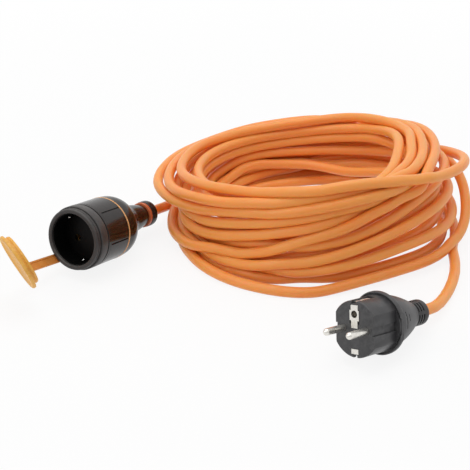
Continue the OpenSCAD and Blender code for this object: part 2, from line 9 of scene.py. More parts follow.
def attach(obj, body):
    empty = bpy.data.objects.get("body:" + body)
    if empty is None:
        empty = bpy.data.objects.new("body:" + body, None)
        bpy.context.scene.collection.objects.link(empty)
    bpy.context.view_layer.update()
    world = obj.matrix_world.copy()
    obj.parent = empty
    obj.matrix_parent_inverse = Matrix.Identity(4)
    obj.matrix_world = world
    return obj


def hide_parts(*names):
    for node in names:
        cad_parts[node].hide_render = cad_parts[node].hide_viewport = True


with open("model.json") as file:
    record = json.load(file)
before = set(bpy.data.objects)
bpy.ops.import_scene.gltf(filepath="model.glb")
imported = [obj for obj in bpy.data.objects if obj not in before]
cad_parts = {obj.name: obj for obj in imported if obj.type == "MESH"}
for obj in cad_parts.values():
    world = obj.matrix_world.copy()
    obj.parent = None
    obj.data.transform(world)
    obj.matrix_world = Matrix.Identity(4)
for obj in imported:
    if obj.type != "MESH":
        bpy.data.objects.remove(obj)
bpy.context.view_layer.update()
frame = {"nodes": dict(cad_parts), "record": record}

# ---- sizes in millimetres and degrees, as in the part's source --------------------------------------

MM = 0.001
CORD_D = 8.0
JACKET_END, NECK_END, NUT_END = -67.41, -84.91, -96.81
LEG_Y, CROSS_Z = 17.8, -37.0
PLUG_JACKET, RELIEF_END = -51.0, -71.0
PIN_X = 9.5
CONE_TOP, CONE_LENGTH = -26.5, 29.5
STRAP_W, STRAP_T = 7.2, 1.6
STRAP_BEARING, STRAP_LEAN = 203, 4
STRAP_ROOT_R, STRAP_ROOT_Z = 25.6, -4.6
CAP_REACH, CAP_OPEN = 45.1, 45
# In metres: from the contacts' middle out to the mouth, and from the pins' middle back to the face
CONTACTS_TO_MOUTH, PINS_TO_FACE = 0.0295, -0.008825

# ---- where the coupler and the plug lie -------------------------------------------------------------

mounts = {m["name"]: m for m in frame["record"]["mounts"]}


def face_frame(right, left, step):
    """The frame of a front face: X runs from the left contact to the right one and Z out of the face,
    which lies step metres in front of the contacts' middle. Lengths in it are millimetres."""
    a, b = Vector(mounts[right]["pos_m"]), Vector(mounts[left]["pos_m"])
    z = Vector(mounts[right]["axis"]).normalized()
    x = (a - b - z * (a - b).dot(z)).normalized()
    m = Matrix((x, z.cross(x), z)).transposed().to_4x4()
    m.translation = (a + b) / 2 + z * step
    return m @ Matrix.Scale(MM, 4)


coupler = face_frame("contact_live", "contact_neutral", CONTACTS_TO_MOUTH)
plug = face_frame("pin_live", "pin_neutral", PINS_TO_FACE)
strap_root = (coupler @ Matrix.Rotation(radians(STRAP_BEARING), 4, "Z")
              @ Matrix.Translation((STRAP_ROOT_R, 0, STRAP_ROOT_Z))
              @ Matrix.Rotation(radians(-STRAP_LEAN), 4, "Y"))


def along(place, z):
    """The point on a face frame's axis at height z, in metres."""
    return place @ Vector((0, 0, z))


# ---- camera -----------------------------------------------------------------------------------------

CAMERA_AT, CAMERA_DIP, LENS = (-0.0093, -0.8096, 0.4134), 26, 89.85

bpy.ops.object.select_all(action="DESELECT")
bpy.ops.object.camera_add(location=CAMERA_AT, rotation=(radians(90 - CAMERA_DIP), 0, 0))
camera = bpy.context.object
camera.data.lens = LENS
camera.data.clip_start = 0.01
bpy.context.scene.camera = camera

# ---- the cord's way ---------------------------------------------------------------------------------

COUPLER_ROUTE = [
    (-70.7, 60.1, 13.3), (-65.8, 68.3, 11.7), (-61.6, 76.5, 10.2), (-57.6, 85, 9.1), (-54, 93.5, 8.5),
]
PLUG_ROUTE = [
    (124.6, -101.3, 10.6), (130.6, -93.5, 8.3), (136, -83.6, 6.2), (141, -73, 4.8), (146, -61.5, 4.3),
    (151, -48, 4.2), (155, -33.5, 4.2), (157.6, -19, 4.2), (158.9, -5, 4.2), (158.4, 6, 4.2),
]
COIL_MIDDLE = np.array([52.0, 52.0])
# Steps in degrees round the coil, and in millimetres along the cord as it is laid and as it is drawn
BEARING_STEP, LAID_STEP, DRAWN_STEP = 4.0, 6.0, 3.4
# Lengths at the two ends that stay where they are while the cord is laid
HELD_AT_COUPLER, HELD_AT_PLUG = 45, 118
# Each turn of the coil, from the coupler's end to the plug's: bearing in degrees clockwise from the
# back, distance from the coil's middle, and height of the cord's middle over the floor
TURNS = [
    [(-30, 108, 13), (0, 104, 14), (45, 103, 18), (90, 103, 25), (116, 100, 25.5), (150, 97, 24),
     (184, 93, 12), (225, 94, 5), (270, 90, 4)],
    [(-35, 82, 4), (0, 86, 4), (20, 94, 4), (50, 100, 5), (90, 106.5, 6), (112, 105, 6.3),
     (140, 101.5, 10.3), (158, 100, 9.7), (172, 101, 7.5), (188, 101, 8), (215, 106, 8), (240, 103, 6),
     (270, 98, 4)],
    [(-32, 90, 5), (-15, 97, 4), (0, 103, 4.5), (25, 107, 9), (45, 111, 17), (90, 113, 22.5),
     (113, 111, 23.5), (133, 107, 25.4), (145, 106, 25.5), (159, 106, 22.5), (184, 106, 15),
     (215, 101, 11), (270, 95, 12)],
    [(-43, 86, 12), (-29, 92, 12), (-10, 97, 12), (10, 101, 19), (45, 105, 30), (90, 108, 41),
     (122, 107, 45), (146, 106, 40.5), (160, 106, 34.5), (184, 106, 22.5), (208, 106, 13.5),
     (235, 105, 11), (270, 103, 12)],
    [(-45, 104, 22), (0, 104, 31), (45, 104, 46), (90, 104, 60), (124, 102, 60), (149, 101, 49),
     (167, 101, 39), (184, 101, 33), (205, 98, 29.5), (230, 97, 20), (270, 94, 20)],
    [(-55, 85, 20), (-38, 92, 20), (-9, 89, 20), (9, 83, 20), (27, 75, 21), (46, 72, 28), (60, 71, 34),
     (90, 84, 48), (120, 95, 55), (142, 95, 49), (157, 95, 45), (171, 95, 41), (188, 94, 38),
     (206, 95, 37.5), (220, 96, 33.5), (240, 98, 25), (270, 98, 20)],
    [(-45, 92, 18), (0, 96, 17), (33, 100, 21.5), (50, 100, 27), (75, 98, 37), (100, 98, 47),
     (116, 98, 51), (142, 96, 42.5), (157, 96, 36), (171, 96, 29), (188, 96, 23), (206, 97, 16),
     (220, 97, 13.5), (240, 96, 12), (270, 94, 12)],
    [(-35, 95, 29), (0, 94, 29.5), (33, 92, 36.5), (60, 90, 46.5), (90, 88, 55), (135, 94, 62),
     (160, 98, 61), (172, 102, 56.5), (184, 103, 50), (209, 103, 37), (239, 103, 24), (270, 103, 28)],
    [(-45, 103, 36), (0, 103, 42), (22, 105, 52), (44, 99, 65), (65, 92, 72), (90, 86, 75),
     (115, 88, 75), (140, 96, 74), (160, 101, 73), (184, 101.5, 69.5), (209, 104, 62), (235, 107, 54),
     (260, 114.3, 46.5), (270, 114.3, 46)],
    [(-70, 113, 46), (-45, 110, 45), (0, 110, 46), (22, 110, 53), (44, 106, 62), (65, 101, 70),
     (90, 96, 73), (115, 96, 73), (135, 101, 70.5), (146, 103, 65), (160, 104, 57.6), (184, 104, 40.6),
     (209, 104, 22.4), (224, 106, 14.5), (240, 109, 12), (270, 111, 12)],
    [(-70, 108, 15), (-35, 107, 20), (0, 106, 20.5), (30, 110, 32), (50, 112, 41.5), (65, 114, 50),
     (80, 117, 57.5), (92, 119, 63.5), (104, 118, 68), (127, 110, 73), (146, 105, 79), (161, 104, 82),
     (169, 104, 82), (185, 103, 76.5), (197, 100, 72.5), (222, 98, 66), (244, 100, 59),
     (270, 104.5, 52)],
    [(-67, 103.5, 52), (-40, 97, 52.5), (-20, 95, 53.5), (0, 94, 56.5), (22, 95, 63), (44, 88, 69.5),
     (58, 87, 71), (75, 82, 74), (90, 77, 75.5), (115, 80, 75), (140, 88, 73), (165, 94, 69),
     (184, 95, 67), (225, 92, 58), (270, 91, 50)],
    [(-45, 93, 46), (0, 94, 47.5), (20, 91, 53), (40, 87, 60), (60, 77, 68), (90, 68, 74),
     (115, 69, 74), (140, 80, 72), (165, 93, 66), (184, 95, 58), (209, 95, 47), (235, 93, 40),
     (270, 91, 40)],
    [(-45, 93, 38), (0, 94, 40), (19, 91, 46), (38, 87, 52.5), (60, 82, 56), (90, 80, 63),
     (135, 95, 70), (160, 102, 66), (184, 102, 57), (210, 102, 46), (240, 103, 33), (270, 109, 34)],
    [(-45, 104, 45), (0, 102, 50), (45, 98, 58), (90, 92, 63), (125, 94, 68), (154, 101, 72),
     (169, 104, 70), (184, 104, 65), (209, 104, 57), (238, 106, 43), (255, 116, 40), (268, 123, 40)],
    [(-70, 122, 42), (-45, 117, 43), (-20, 115, 46), (0, 113, 49), (30, 115, 51), (60, 120, 47),
     (70, 122, 44), (80, 124, 38), (90, 124, 29), (100, 123, 17.5), (112, 119, 11.5), (130, 114, 9),
     (145, 109, 8.5), (168, 110, 6), (183, 118, 4), (205, 118, 4), (228, 115, 5), (243, 110, 5),
     (270, 103, 4)],
    [(-45, 104, 4), (0, 110, 4), (45, 113, 4.2), (70, 116, 4.5)],
]


def eased(x, xs, ys):
    """A smooth line through the points xs, ys."""
    slope = np.gradient(ys, xs)
    i = np.clip(np.searchsorted(xs, x, side="right") - 1, 0, len(xs) - 2)
    h = xs[i + 1] - xs[i]
    t = (x - xs[i]) / h
    return (ys[i] * (1 + 2 * t) * (1 - t) ** 2 + slope[i] * h * t * (1 - t) ** 2
            + ys[i + 1] * t * t * (3 - 2 * t) + slope[i + 1] * h * t * t * (t - 1))


def spaced(points, step):
    """The points of a line again, step apart along it."""
    d = np.r_[0, np.cumsum(np.linalg.norm(np.diff(points, axis=0), axis=1))]
    s = np.linspace(0, d[-1], int(round(d[-1] / step)) + 1)
    return np.stack([np.interp(s, d, points[:, k]) for k in range(3)], 1)


def seen_from_middle(p):
    """A point's bearing, distance from the coil's middle, and height."""
    dx, dy = p[0] - COIL_MIDDLE[0], p[1] - COIL_MIDDLE[1]
    return np.degrees(np.arctan2(dx, dy)), np.hypot(dx, dy), p[2]


def coil_route():
    """The cord's way from the nut, through every turn, to the plug's relief."""
    start = [np.array(along(coupler, NUT_END)) / MM] + [np.array(p) for p in COUPLER_ROUTE]
    end = [np.array(p) for p in reversed(PLUG_ROUTE)] + [np.array(along(plug, RELIEF_END)) / MM]
    rows = [seen_from_middle(start[-1])]
    for k, turn in enumerate(TURNS):
        rows += [(b + 360 * k, r, h) for b, r, h in turn]
    b, r, h = seen_from_middle(end[0])
    rows.append((b + 360 * (len(TURNS) - 1), r, h))
    rows = np.array(rows)
    bearing = np.arange(rows[0, 0], rows[-1, 0], BEARING_STEP)
    r, h = eased(bearing, rows[:, 0], rows[:, 1]), eased(bearing, rows[:, 0], rows[:, 2])
    a = np.radians(bearing)
    body = np.stack([COIL_MIDDLE[0] + r * np.sin(a), COIL_MIDDLE[1] + r * np.cos(a), h], 1)
    return spaced(np.vstack([start, body[1:], end]), LAID_STEP)


def close_pairs(points, reach, skip=4):
    """The pairs of points that lie within reach of each other on different stretches of the cord."""
    g = points @ points.T
    s = np.diag(g)
    return np.nonzero(np.triu(s[:, None] + s[None, :] - 2 * g < reach * reach, skip))


def settled(goal, rounds=400, pull=0.08, stiff=0.2, weight=0.02):
    """The cord laid down along goal: it keeps its length and a smooth bend, rests on the floor and on
    itself, and its two ends stay where they are."""
    p = goal.copy()
    rest = np.linalg.norm(np.diff(goal, axis=0), axis=1)
    s = np.r_[0, np.cumsum(rest)]
    free = ((s >= HELD_AT_COUPLER) & (s <= s[-1] - HELD_AT_PLUG)).astype(float)[:, None]
    for k in range(rounds):
        if k % 5 == 0:
            i, j = close_pairs(p, CORD_D * 1.5)
        p += (goal - p) * pull * free
        p[:, 2] -= weight * free[:, 0]
        p[1:-1] += ((p[:-2] + p[2:]) / 2 - p[1:-1]) * stiff * free[1:-1]
        for _ in range(2):
            e = p[1:] - p[:-1]
            length = np.linalg.norm(e, axis=1)
            c = ((length - rest) / length * 0.45)[:, None] * e
            p[:-1] += c * free[:-1]
            p[1:] -= c * free[1:]
        for _ in range(2):
            e = p[j] - p[i]
            length = np.linalg.norm(e, axis=1)
            m = length < CORD_D
            if m.any():
                push = ((CORD_D - length[m]) / length[m] * 0.5)[:, None] * e[m]
                moved, hits = np.zeros_like(p), np.zeros(len(p))
                np.add.at(moved, i[m], -push)
                np.add.at(moved, j[m], push)
                np.add.at(hits, i[m], 1)
                np.add.at(hits, j[m], 1)
                p += moved / np.maximum(hits, 1)[:, None] * 1.5 * free
        p[:, 2] = np.maximum(p[:, 2], CORD_D / 2)
    return p


def smooth_line(points, step):
    """A Catmull-Rom line through points, step apart."""
    p = np.vstack([2 * points[0] - points[1], points, 2 * points[-1] - points[-2]])
    t = np.linspace(0, 1, 6, endpoint=False)[None, :, None]
    a, b, c, d = (p[k:len(p) - 3 + k, None] for k in range(4))
    fine = 0.5 * (2 * b + (c - a) * t + (2 * a - 5 * b + 4 * c - d) * t ** 2
                  + (3 * b - a - 3 * c + d) * t ** 3)
    return spaced(np.vstack([fine.reshape(-1, 3), points[-1:]]), step)


def tube(name, line, radius, sides):
    """A tube along line with a map of its own: U runs round it and V along it, in metres."""
    t = np.gradient(line, axis=0)
    t /= np.linalg.norm(t, axis=1)[:, None]
    n = np.cross(t[0], (0, 0, 1))
    across = []
    for k in range(len(line)):
        n = n - t[k] * n.dot(t[k])
        n /= np.linalg.norm(n)
        across.append(n)
    across = np.array(across)
    other = np.cross(t, across)
    a = np.linspace(0, 2 * pi, sides, endpoint=False)
    verts = (line[:, None] + radius * (np.cos(a)[None, :, None] * across[:, None]
                                       + np.sin(a)[None, :, None] * other[:, None])).reshape(-1, 3)
    ring, side = np.meshgrid(np.arange(len(line) - 1), np.arange(sides), indexing="ij")
    here, beside = ring * sides + side, ring * sides + (side + 1) % sides
    quads = np.stack([here, beside, beside + sides, here + sides], -1).reshape(-1, 4)
    first, last = list(range(sides))[::-1], [(len(line) - 1) * sides + k for k in range(sides)]
    mesh = bpy.data.meshes.new(name)
    mesh.from_pydata(verts.tolist(), [], quads.tolist() + [first, last])
    s = np.r_[0, np.cumsum(np.linalg.norm(np.diff(line, axis=0), axis=1))]
    turn = 2 * pi * radius / sides
    u = np.stack([side, side + 1, side + 1, side], -1).reshape(-1) * turn
    v = np.stack([s[ring], s[ring], s[ring + 1], s[ring + 1]], -1).reshape(-1)
    ends = np.zeros((2 * sides, 2))
    ends[sides:, 1] = s[-1]
    mesh.uv_layers.new(name="along").data.foreach_set("uv", np.vstack([np.stack([u, v], 1), ends]).ravel())
    piece = bpy.data.objects.new(name, mesh)
    bpy.context.scene.collection.objects.link(piece)
    mesh.shade_smooth()
    mesh.update()
    return piece


laid = settled(coil_route())
inside_coupler = [np.array(along(coupler, z)) / MM for z in (JACKET_END, NECK_END)]
inside_plug = [np.array(along(plug, PLUG_JACKET)) / MM]
whole_route = np.vstack([spaced(np.vstack([inside_coupler, laid[:1]]), LAID_STEP)[:-1], laid,
                         spaced(np.vstack([laid[-1:], inside_plug]), LAID_STEP)[1:]])
cord_line = smooth_line(whole_route, DRAWN_STEP) * MM
cord = tube("cord", cord_line, CORD_D / 2 * MM, 24)
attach(cord, "cord_body")
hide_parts("cord_coil", "cord_run_coupler", "cord_run_plug")

# ---- finishes: what several materials share ---------------------------------------------------------


def node(tree, kind, inputs=None, **settings):
    """A shader node with its settings, and its inputs set to a value or joined to another's output."""
    made = tree.nodes.new(kind)
    for name, value in settings.items():
        setattr(made, name, value)
    for key, value in (inputs or {}).items():
        if isinstance(value, bpy.types.NodeSocket):
            tree.links.new(value, made.inputs[key])
        else:
            made.inputs[key].default_value = value
    return made


def maths(tree, operation, *values, clamp=False):
    return node(tree, "ShaderNodeMath", dict(enumerate(values)), operation=operation,
                use_clamp=clamp).outputs[0]


def span(tree, value, low, high, to_low=0.0, to_high=1.0):
    return node(tree, "ShaderNodeMapRange", {"Value": value, "From Min": low, "From Max": high,
                                             "To Min": to_low, "To Max": to_high}).outputs["Result"]


def blended(tree, factor, a, b, how="MIX"):
    return node(tree, "ShaderNodeMix", {0: factor, 6: a, 7: b}, data_type="RGBA", blend_type=how).outputs[2]


def noise(tree, vector, scale, detail=2.0, roughness=0.5):
    return node(tree, "ShaderNodeTexNoise", {"Vector": vector, "Scale": scale, "Detail": detail,
                                             "Roughness": roughness}).outputs["Fac"]


def own_place(tree):
    """The piece's own coordinates."""
    return tree.nodes.new("ShaderNodeTexCoord").outputs["Object"]


def stretched(tree, vector, scale):
    return node(tree, "ShaderNodeMapping", {"Vector": vector, "Scale": scale}).outputs[0]


def bumped(tree, height, strength, distance, ends):
    """Lets a height of so many millimetres bend the shader's normal."""
    bump = node(tree, "ShaderNodeBump", {"Height": height, "Strength": strength, "Distance": distance * MM})
    tree.links.new(bump.outputs["Normal"], ends["Normal"])


def new_group(name, inputs, outputs):
    tree = bpy.data.node_groups.new(name, "ShaderNodeTree")
    for title, kind, value in inputs:
        socket = tree.interface.new_socket(title, in_out="INPUT", socket_type=kind)
        socket.default_value = value
    for title, kind in outputs:
        tree.interface.new_socket(title, in_out="OUTPUT", socket_type=kind)
    return tree, tree.nodes.new("NodeGroupInput").outputs, tree.nodes.new("NodeGroupOutput").inputs


FLOAT, COLOR = "NodeSocketFloat", "NodeSocketColor"


def moulded_grain_group():
    """The fine eroded grain of a mould, and the slow change of gloss over a moulded piece."""
    tree, given, made = new_group(
        "Moulded grain", [("Scale", FLOAT, 1800.0), ("Smooth", FLOAT, 0.4), ("Rough", FLOAT, 0.5)],
        [("Roughness", FLOAT), ("Height", FLOAT), ("Mottle", FLOAT)])
    place = own_place(tree)
    fine = noise(tree, place, given["Scale"], 3.0, 0.6)
    slow = noise(tree, place, maths(tree, "MULTIPLY", given["Scale"], 0.045), 3.0)
    tree.links.new(span(tree, slow, 0.3, 0.7, given["Smooth"], given["Rough"]), made["Roughness"])
    tree.links.new(fine, made["Height"])
    tree.links.new(slow, made["Mottle"])
    return tree


def edge_wear_group():
    """Where handling has rubbed the edges of a piece."""
    tree, given, made = new_group("Edge wear", [("Amount", FLOAT, 0.5), ("Scale", FLOAT, 300.0)],
                                  [("Mask", FLOAT)])
    place = own_place(tree)
    edge = span(tree, tree.nodes.new("ShaderNodeNewGeometry").outputs["Pointiness"], 0.51, 0.6)
    broken = span(tree, noise(tree, place, given["Scale"], 4.0, 0.65), 0.35, 0.65)
    worn = maths(tree, "MULTIPLY", edge, broken)
    tree.links.new(maths(tree, "MULTIPLY", worn, given["Amount"], clamp=True), made["Mask"])
    return tree


def settled_dust_group():
    """The thin dust that lies on what faces up."""
    tree, given, made = new_group("Settled dust", [("Amount", FLOAT, 0.2), ("Scale", FLOAT, 60.0)],
                                  [("Mask", FLOAT)])
    place = own_place(tree)
    normal = tree.nodes.new("ShaderNodeNewGeometry").outputs["Normal"]
    up = span(tree, node(tree, "ShaderNodeSeparateXYZ", {0: normal}).outputs["Z"], 0.1, 1.0)
    patch = span(tree, noise(tree, place, given["Scale"], 5.0, 0.6), 0.35, 0.75)
    lying = maths(tree, "MULTIPLY", up, patch)
    tree.links.new(maths(tree, "MULTIPLY", lying, given["Amount"], clamp=True), made["Mask"])
    return tree


def jacket_group():
    """A cord's extruded jacket: its colour changes slowly along it, with faint drawn lines, rubbed
    stretches and small scuffs. It follows the cord's own map."""
    white = (1, 1, 1, 1)
    tree, given, made = new_group(
        "Cord jacket", [(title, COLOR, white) for title in ("Jacket", "Deep", "Rubbed")],
        [("Color", COLOR), ("Roughness", FLOAT), ("Height", FLOAT)])
    way = node(tree, "ShaderNodeUVMap", uv_map="along").outputs["UV"]
    place = own_place(tree)
    drawn = noise(tree, stretched(tree, way, (900.0, 14.0, 1.0)), 1.0, 2.0)
    slow = noise(tree, stretched(tree, way, (30.0, 9.0, 1.0)), 1.0, 2.0)
    rubbed = span(tree, noise(tree, place, 240.0, 5.0, 0.65), 0.56, 0.72)
    pits = noise(tree, place, 2600.0, 2.0)
    body = blended(tree, span(tree, slow, 0.3, 0.7), given["Deep"], given["Jacket"])
    tree.links.new(blended(tree, maths(tree, "MULTIPLY", rubbed, 0.25), body, given["Rubbed"]), made["Color"])
    tree.links.new(maths(tree, "ADD", span(tree, slow, 0.3, 0.7, 0.36, 0.44),
                         maths(tree, "MULTIPLY", rubbed, 0.12)), made["Roughness"])
    lines, dents = maths(tree, "MULTIPLY", drawn, 0.6), maths(tree, "MULTIPLY", pits, 0.4)
    tree.links.new(maths(tree, "ADD", lines, dents), made["Height"])
    return tree


def plated_group():
    """Plated sheet and turned metal: fine marks of the tool, dull patches and touches of tarnish."""
    tree, given, made = new_group(
        "Plated metal", [("Smooth", FLOAT, 0.2), ("Rough", FLOAT, 0.4), ("Tarnish", FLOAT, 0.2)],
        [("Roughness", FLOAT), ("Height", FLOAT), ("Mask", FLOAT)])
    place = own_place(tree)
    marks = noise(tree, stretched(tree, place, (900.0, 5200.0, 900.0)), 1.0, 3.0, 0.6)
    patch = noise(tree, place, 420.0, 4.0, 0.6)
    tree.links.new(span(tree, patch, 0.35, 0.65, given["Smooth"], given["Rough"]), made["Roughness"])
    tree.links.new(marks, made["Height"])
    tree.links.new(maths(tree, "MULTIPLY", span(tree, patch, 0.5, 0.75), given["Tarnish"], clamp=True),
                   made["Mask"])
    return tree


GRAIN, WEAR, DUST, JACKET, PLATED = (moulded_grain_group(), edge_wear_group(), settled_dust_group(),
                                     jacket_group(), plated_group())


def group(tree, which, **values):
    return node(tree, "ShaderNodeGroup", {k.replace("_", " "): v for k, v in values.items()}, node_tree=which)


def blank_material(name, **shader):
    """A material with its Principled shader, whose plain values are set on the shader itself."""
    material = bpy.data.materials.new(name)
    material.use_nodes = True
    tree = material.node_tree
    principled = tree.nodes["Principled BSDF"]
    for key, value in shader.items():
        principled.inputs[key.replace("_", " ")].default_value = value
    return material, tree, principled.inputs


def rgb(*value):
    return (*value, 1.0)


def moulded(name, colour, worn, smooth, rough, scale=1800.0, depth=0.03, wear=0.4, dust=0.15,
            dust_colour=(0.55, 0.52, 0.48), **shader):
    """A moulded plastic or rubber: a grain of its own, edges rubbed to the worn colour, and a little dust."""
    material, tree, ends = blank_material(name, **shader)
    grain = group(tree, GRAIN, Scale=scale, Smooth=smooth, Rough=rough)
    rubbed = group(tree, WEAR, Amount=wear).outputs["Mask"]
    lying = group(tree, DUST, Amount=dust).outputs["Mask"]
    darker = rgb(*(c * 0.82 for c in colour))
    body = blended(tree, span(tree, grain.outputs["Mottle"], 0.3, 0.7), darker, rgb(*colour))
    body = blended(tree, rubbed, body, rgb(*worn))
    tree.links.new(blended(tree, lying, body, rgb(*dust_colour)), ends["Base Color"])
    dull = maths(tree, "MULTIPLY", lying, 0.5)
    tree.links.new(maths(tree, "ADD", grain.outputs["Roughness"], dull, clamp=True), ends["Roughness"])
    bumped(tree, grain.outputs["Height"], 0.5, depth, ends)
    return material


def plated(name, colour, tarnish, smooth, rough, dull=0.3):
    """Bare or plated metal with the fine marks of its making."""
    material, tree, ends = blank_material(name, Metallic=1.0)
    metal = group(tree, PLATED, Smooth=smooth, Rough=rough, Tarnish=dull)
    tree.links.new(blended(tree, metal.outputs["Mask"], rgb(*colour), rgb(*tarnish)), ends["Base Color"])
    tree.links.new(metal.outputs["Roughness"], ends["Roughness"])
    bumped(tree, metal.outputs["Height"], 0.3, 0.01, ends)
    return material


def cord_material():
    """The cord's orange jacket, with a little light passing through it and dust on top."""
    material, tree, ends = blank_material(
        "orange_jacket", Subsurface_Weight=0.5, Subsurface_Radius=(1.0, 0.16, 0.05), Subsurface_Scale=0.005,
        Specular_IOR_Level=0.5)
    jacket = group(tree, JACKET, Jacket=rgb(0.97, 0.38, 0.075), Deep=rgb(0.97, 0.33, 0.06),
                   Rubbed=rgb(0.97, 0.45, 0.14))
    lying = group(tree, DUST, Amount=0.12, Scale=90.0).outputs["Mask"]
    tree.links.new(blended(tree, lying, jacket.outputs["Color"], rgb(0.85, 0.60, 0.42)), ends["Base Color"])
    dull = maths(tree, "MULTIPLY", lying, 0.4)
    tree.links.new(maths(tree, "ADD", jacket.outputs["Roughness"], dull, clamp=True), ends["Roughness"])
    bumped(tree, jacket.outputs["Height"], 0.4, 0.04, ends)
    return material


jacket_orange = cord_material()
cap_rubber = moulded("cap_rubber", (0.90, 0.44, 0.05), (0.93, 0.55, 0.16), 0.4, 0.55, 1500, 0.05, dust=0.03)
strap_rubber = moulded("strap_rubber", (0.80, 0.27, 0.035), (0.86, 0.38, 0.10), 0.45, 0.6, 1500, 0.05,
                       dust=0.04)
accent_plastic = moulded("accent_plastic", (0.85, 0.42, 0.14), (0.9, 0.6, 0.4), 0.35, 0.5, 1500, 0.02,
                         dust=0.1)
# The gland ring shares the accent ring's orange; here it is darkened and reddened as painted shade.
gland_orange_painted_shade = moulded("gland_orange_painted_shade", (0.66, 0.13, 0.03), (0.8, 0.32, 0.15), 0.35, 0.45, 1500, 0.02,
                        dust=0.05)
collar_plastic = moulded("collar_plastic", (0.030, 0.026, 0.026), (0.11, 0.10, 0.10), 0.42, 0.52, 2200, 0.03)
grip_plastic = moulded("grip_plastic", (0.010, 0.005, 0.004), (0.05, 0.04, 0.035), 0.15, 0.24, 2000, 0.008,
                       dust=0.02, Specular_IOR_Level=0.45)
# The insert's colour is far darker than black plastic: its own black, with painted shade for the deep mouth
# over it.
insert_black_painted_shade = moulded("insert_black_painted_shade", (0.003, 0.0028, 0.003), (0.008, 0.008, 0.008), 0.35, 0.5, 2000,
                         0.01, dust=0.0, Specular_IOR_Level=0.12)
plug_rubber = moulded("plug_rubber", (0.040, 0.039, 0.042), (0.11, 0.11, 0.11), 0.34, 0.46, 1600, 0.03,
                      dust=0.08)
relief_rubber = moulded("relief_rubber", (0.028, 0.027, 0.029), (0.10, 0.10, 0.10), 0.42, 0.55, 1600, 0.04,
                        dust=0.06)
carrier_plastic = moulded("carrier_plastic", (0.09, 0.09, 0.09), (0.2, 0.2, 0.2), 0.45, 0.6)
nickel_plate = plated("nickel_plate", (0.80, 0.78, 0.73), (0.42, 0.38, 0.32), 0.24, 0.42)
bright_plate = plated("bright_plate", (0.95, 0.94, 0.92), (0.7, 0.68, 0.64), 0.12, 0.2, 0.15)
brass_metal = plated("brass_metal", (0.72, 0.50, 0.20), (0.35, 0.22, 0.10), 0.28, 0.45)
core_finish = {
    "core_brown": moulded("core_brown_skin", (0.10, 0.035, 0.012), (0.2, 0.1, 0.05), 0.35, 0.45),
    "core_blue": moulded("core_blue_skin", (0.015, 0.06, 0.40), (0.1, 0.2, 0.5), 0.35, 0.45),
}


def striped_core():
    """The earth core's two colours, in stripes along it."""
    material, tree, ends = blank_material("core_earth_skin")
    grain = group(tree, GRAIN, Smooth=0.35, Rough=0.45)
    place = own_place(tree)
    green, yellow = rgb(0.03, 0.22, 0.03), rgb(0.75, 0.62, 0.03)
    wave = node(tree, "ShaderNodeTexWave", {"Vector": place, "Scale": 160.0, "Distortion": 0.4})
    stripes = span(tree, wave.outputs["Fac"], 0.45, 0.55)
    tree.links.new(blended(tree, stripes, green, yellow), ends["Base Color"])
    tree.links.new(grain.outputs["Roughness"], ends["Roughness"])
    bumped(tree, grain.outputs["Height"], 0.4, 0.02, ends)
    return material


core_finish["core_green"] = striped_core()
cord.data.materials.append(jacket_orange)

# ---- room: a pale floor, a soft white studio --------------------------------------------------------


def world_light():
    """White for the camera, softer on the object, and darker from the side that the camera is on."""
    world = bpy.data.worlds.new("studio")
    bpy.context.scene.world = world
    world.use_nodes = True
    tree = world.node_tree
    ray = tree.nodes.new("ShaderNodeLightPath").outputs
    outward = tree.nodes.new("ShaderNodeTexCoord").outputs["Generated"]
    way = node(tree, "ShaderNodeSeparateXYZ", {0: outward}).outputs
    front = maths(tree, "MULTIPLY", span(tree, way["Y"], -0.05, -0.7), span(tree, way["Z"], 0.75, 0.3))
    seen = maths(tree, "MAXIMUM", ray["Is Glossy Ray"], ray["Is Transmission Ray"])
    level = maths(tree, "ADD", maths(tree, "MULTIPLY", seen, 0.4), 0.6)
    level = maths(tree, "MULTIPLY", level, maths(tree, "SUBTRACT", 1.0, maths(tree, "MULTIPLY", front, 0.38)))
    level = maths(tree, "MAXIMUM", level, ray["Is Camera Ray"])
    back = tree.nodes["Background"]
    back.inputs["Color"].default_value = rgb(1, 1, 1)
    tree.links.new(level, back.inputs["Strength"])


def floor_finish():
    """White paper: it shows white to the camera and in reflections, and keeps the object's soft shadow."""
    material, tree, ends = blank_material("floor_paper", Roughness=0.9)
    ends["Base Color"].default_value = rgb(0.93, 0.93, 0.93)
    ray = tree.nodes.new("ShaderNodeLightPath").outputs
    place = own_place(tree)
    far = span(tree, node(tree, "ShaderNodeVectorMath", {0: place}, operation="LENGTH").outputs["Value"],
               0.25, 0.8, 0.87, 1.0)
    seen = maths(tree, "MAXIMUM", ray["Is Camera Ray"], maths(tree, "MAXIMUM", ray["Is Glossy Ray"],
                                                             ray["Is Transmission Ray"]))
    glow = node(tree, "ShaderNodeEmission", {"Color": rgb(1, 1, 1), "Strength": 1.0}).outputs[0]
    paper = tree.nodes["Principled BSDF"].outputs[0]
    shown = maths(tree, "MULTIPLY", seen, far)
    mixed = node(tree, "ShaderNodeMixShader", {0: shown, 1: paper, 2: glow}).outputs[0]
    tree.links.new(mixed, tree.nodes["Material Output"].inputs["Surface"])
    return material


def lamp(name, size, power, location, turn):
    """A rectangular soft lamp."""
    bpy.ops.object.light_add(type="AREA", location=location, rotation=[radians(a) for a in turn])
    light = bpy.context.object
    light.name = name
    light.data.shape = "RECTANGLE"
    light.data.size, light.data.size_y = size
    light.data.energy = power


bpy.context.scene.view_settings.view_transform = "Standard"
world_light()
bpy.ops.object.select_all(action="DESELECT")
bpy.ops.mesh.primitive_plane_add(size=6, location=(0, 0, 0))
floor = bpy.context.object
floor.name = "floor"
floor.data.materials.append(floor_finish())
lamp("softbox_top", (1.2, 0.9), 6.3, (0.0, 0.15, 1.3), (0, 0, 0))
lamp("softbox_left", (0.7, 0.9), 3.0, (-0.9, -0.7, 0.9), (52, 0, -52))

# ---- modelling helpers ------------------------------------------------------------------------------


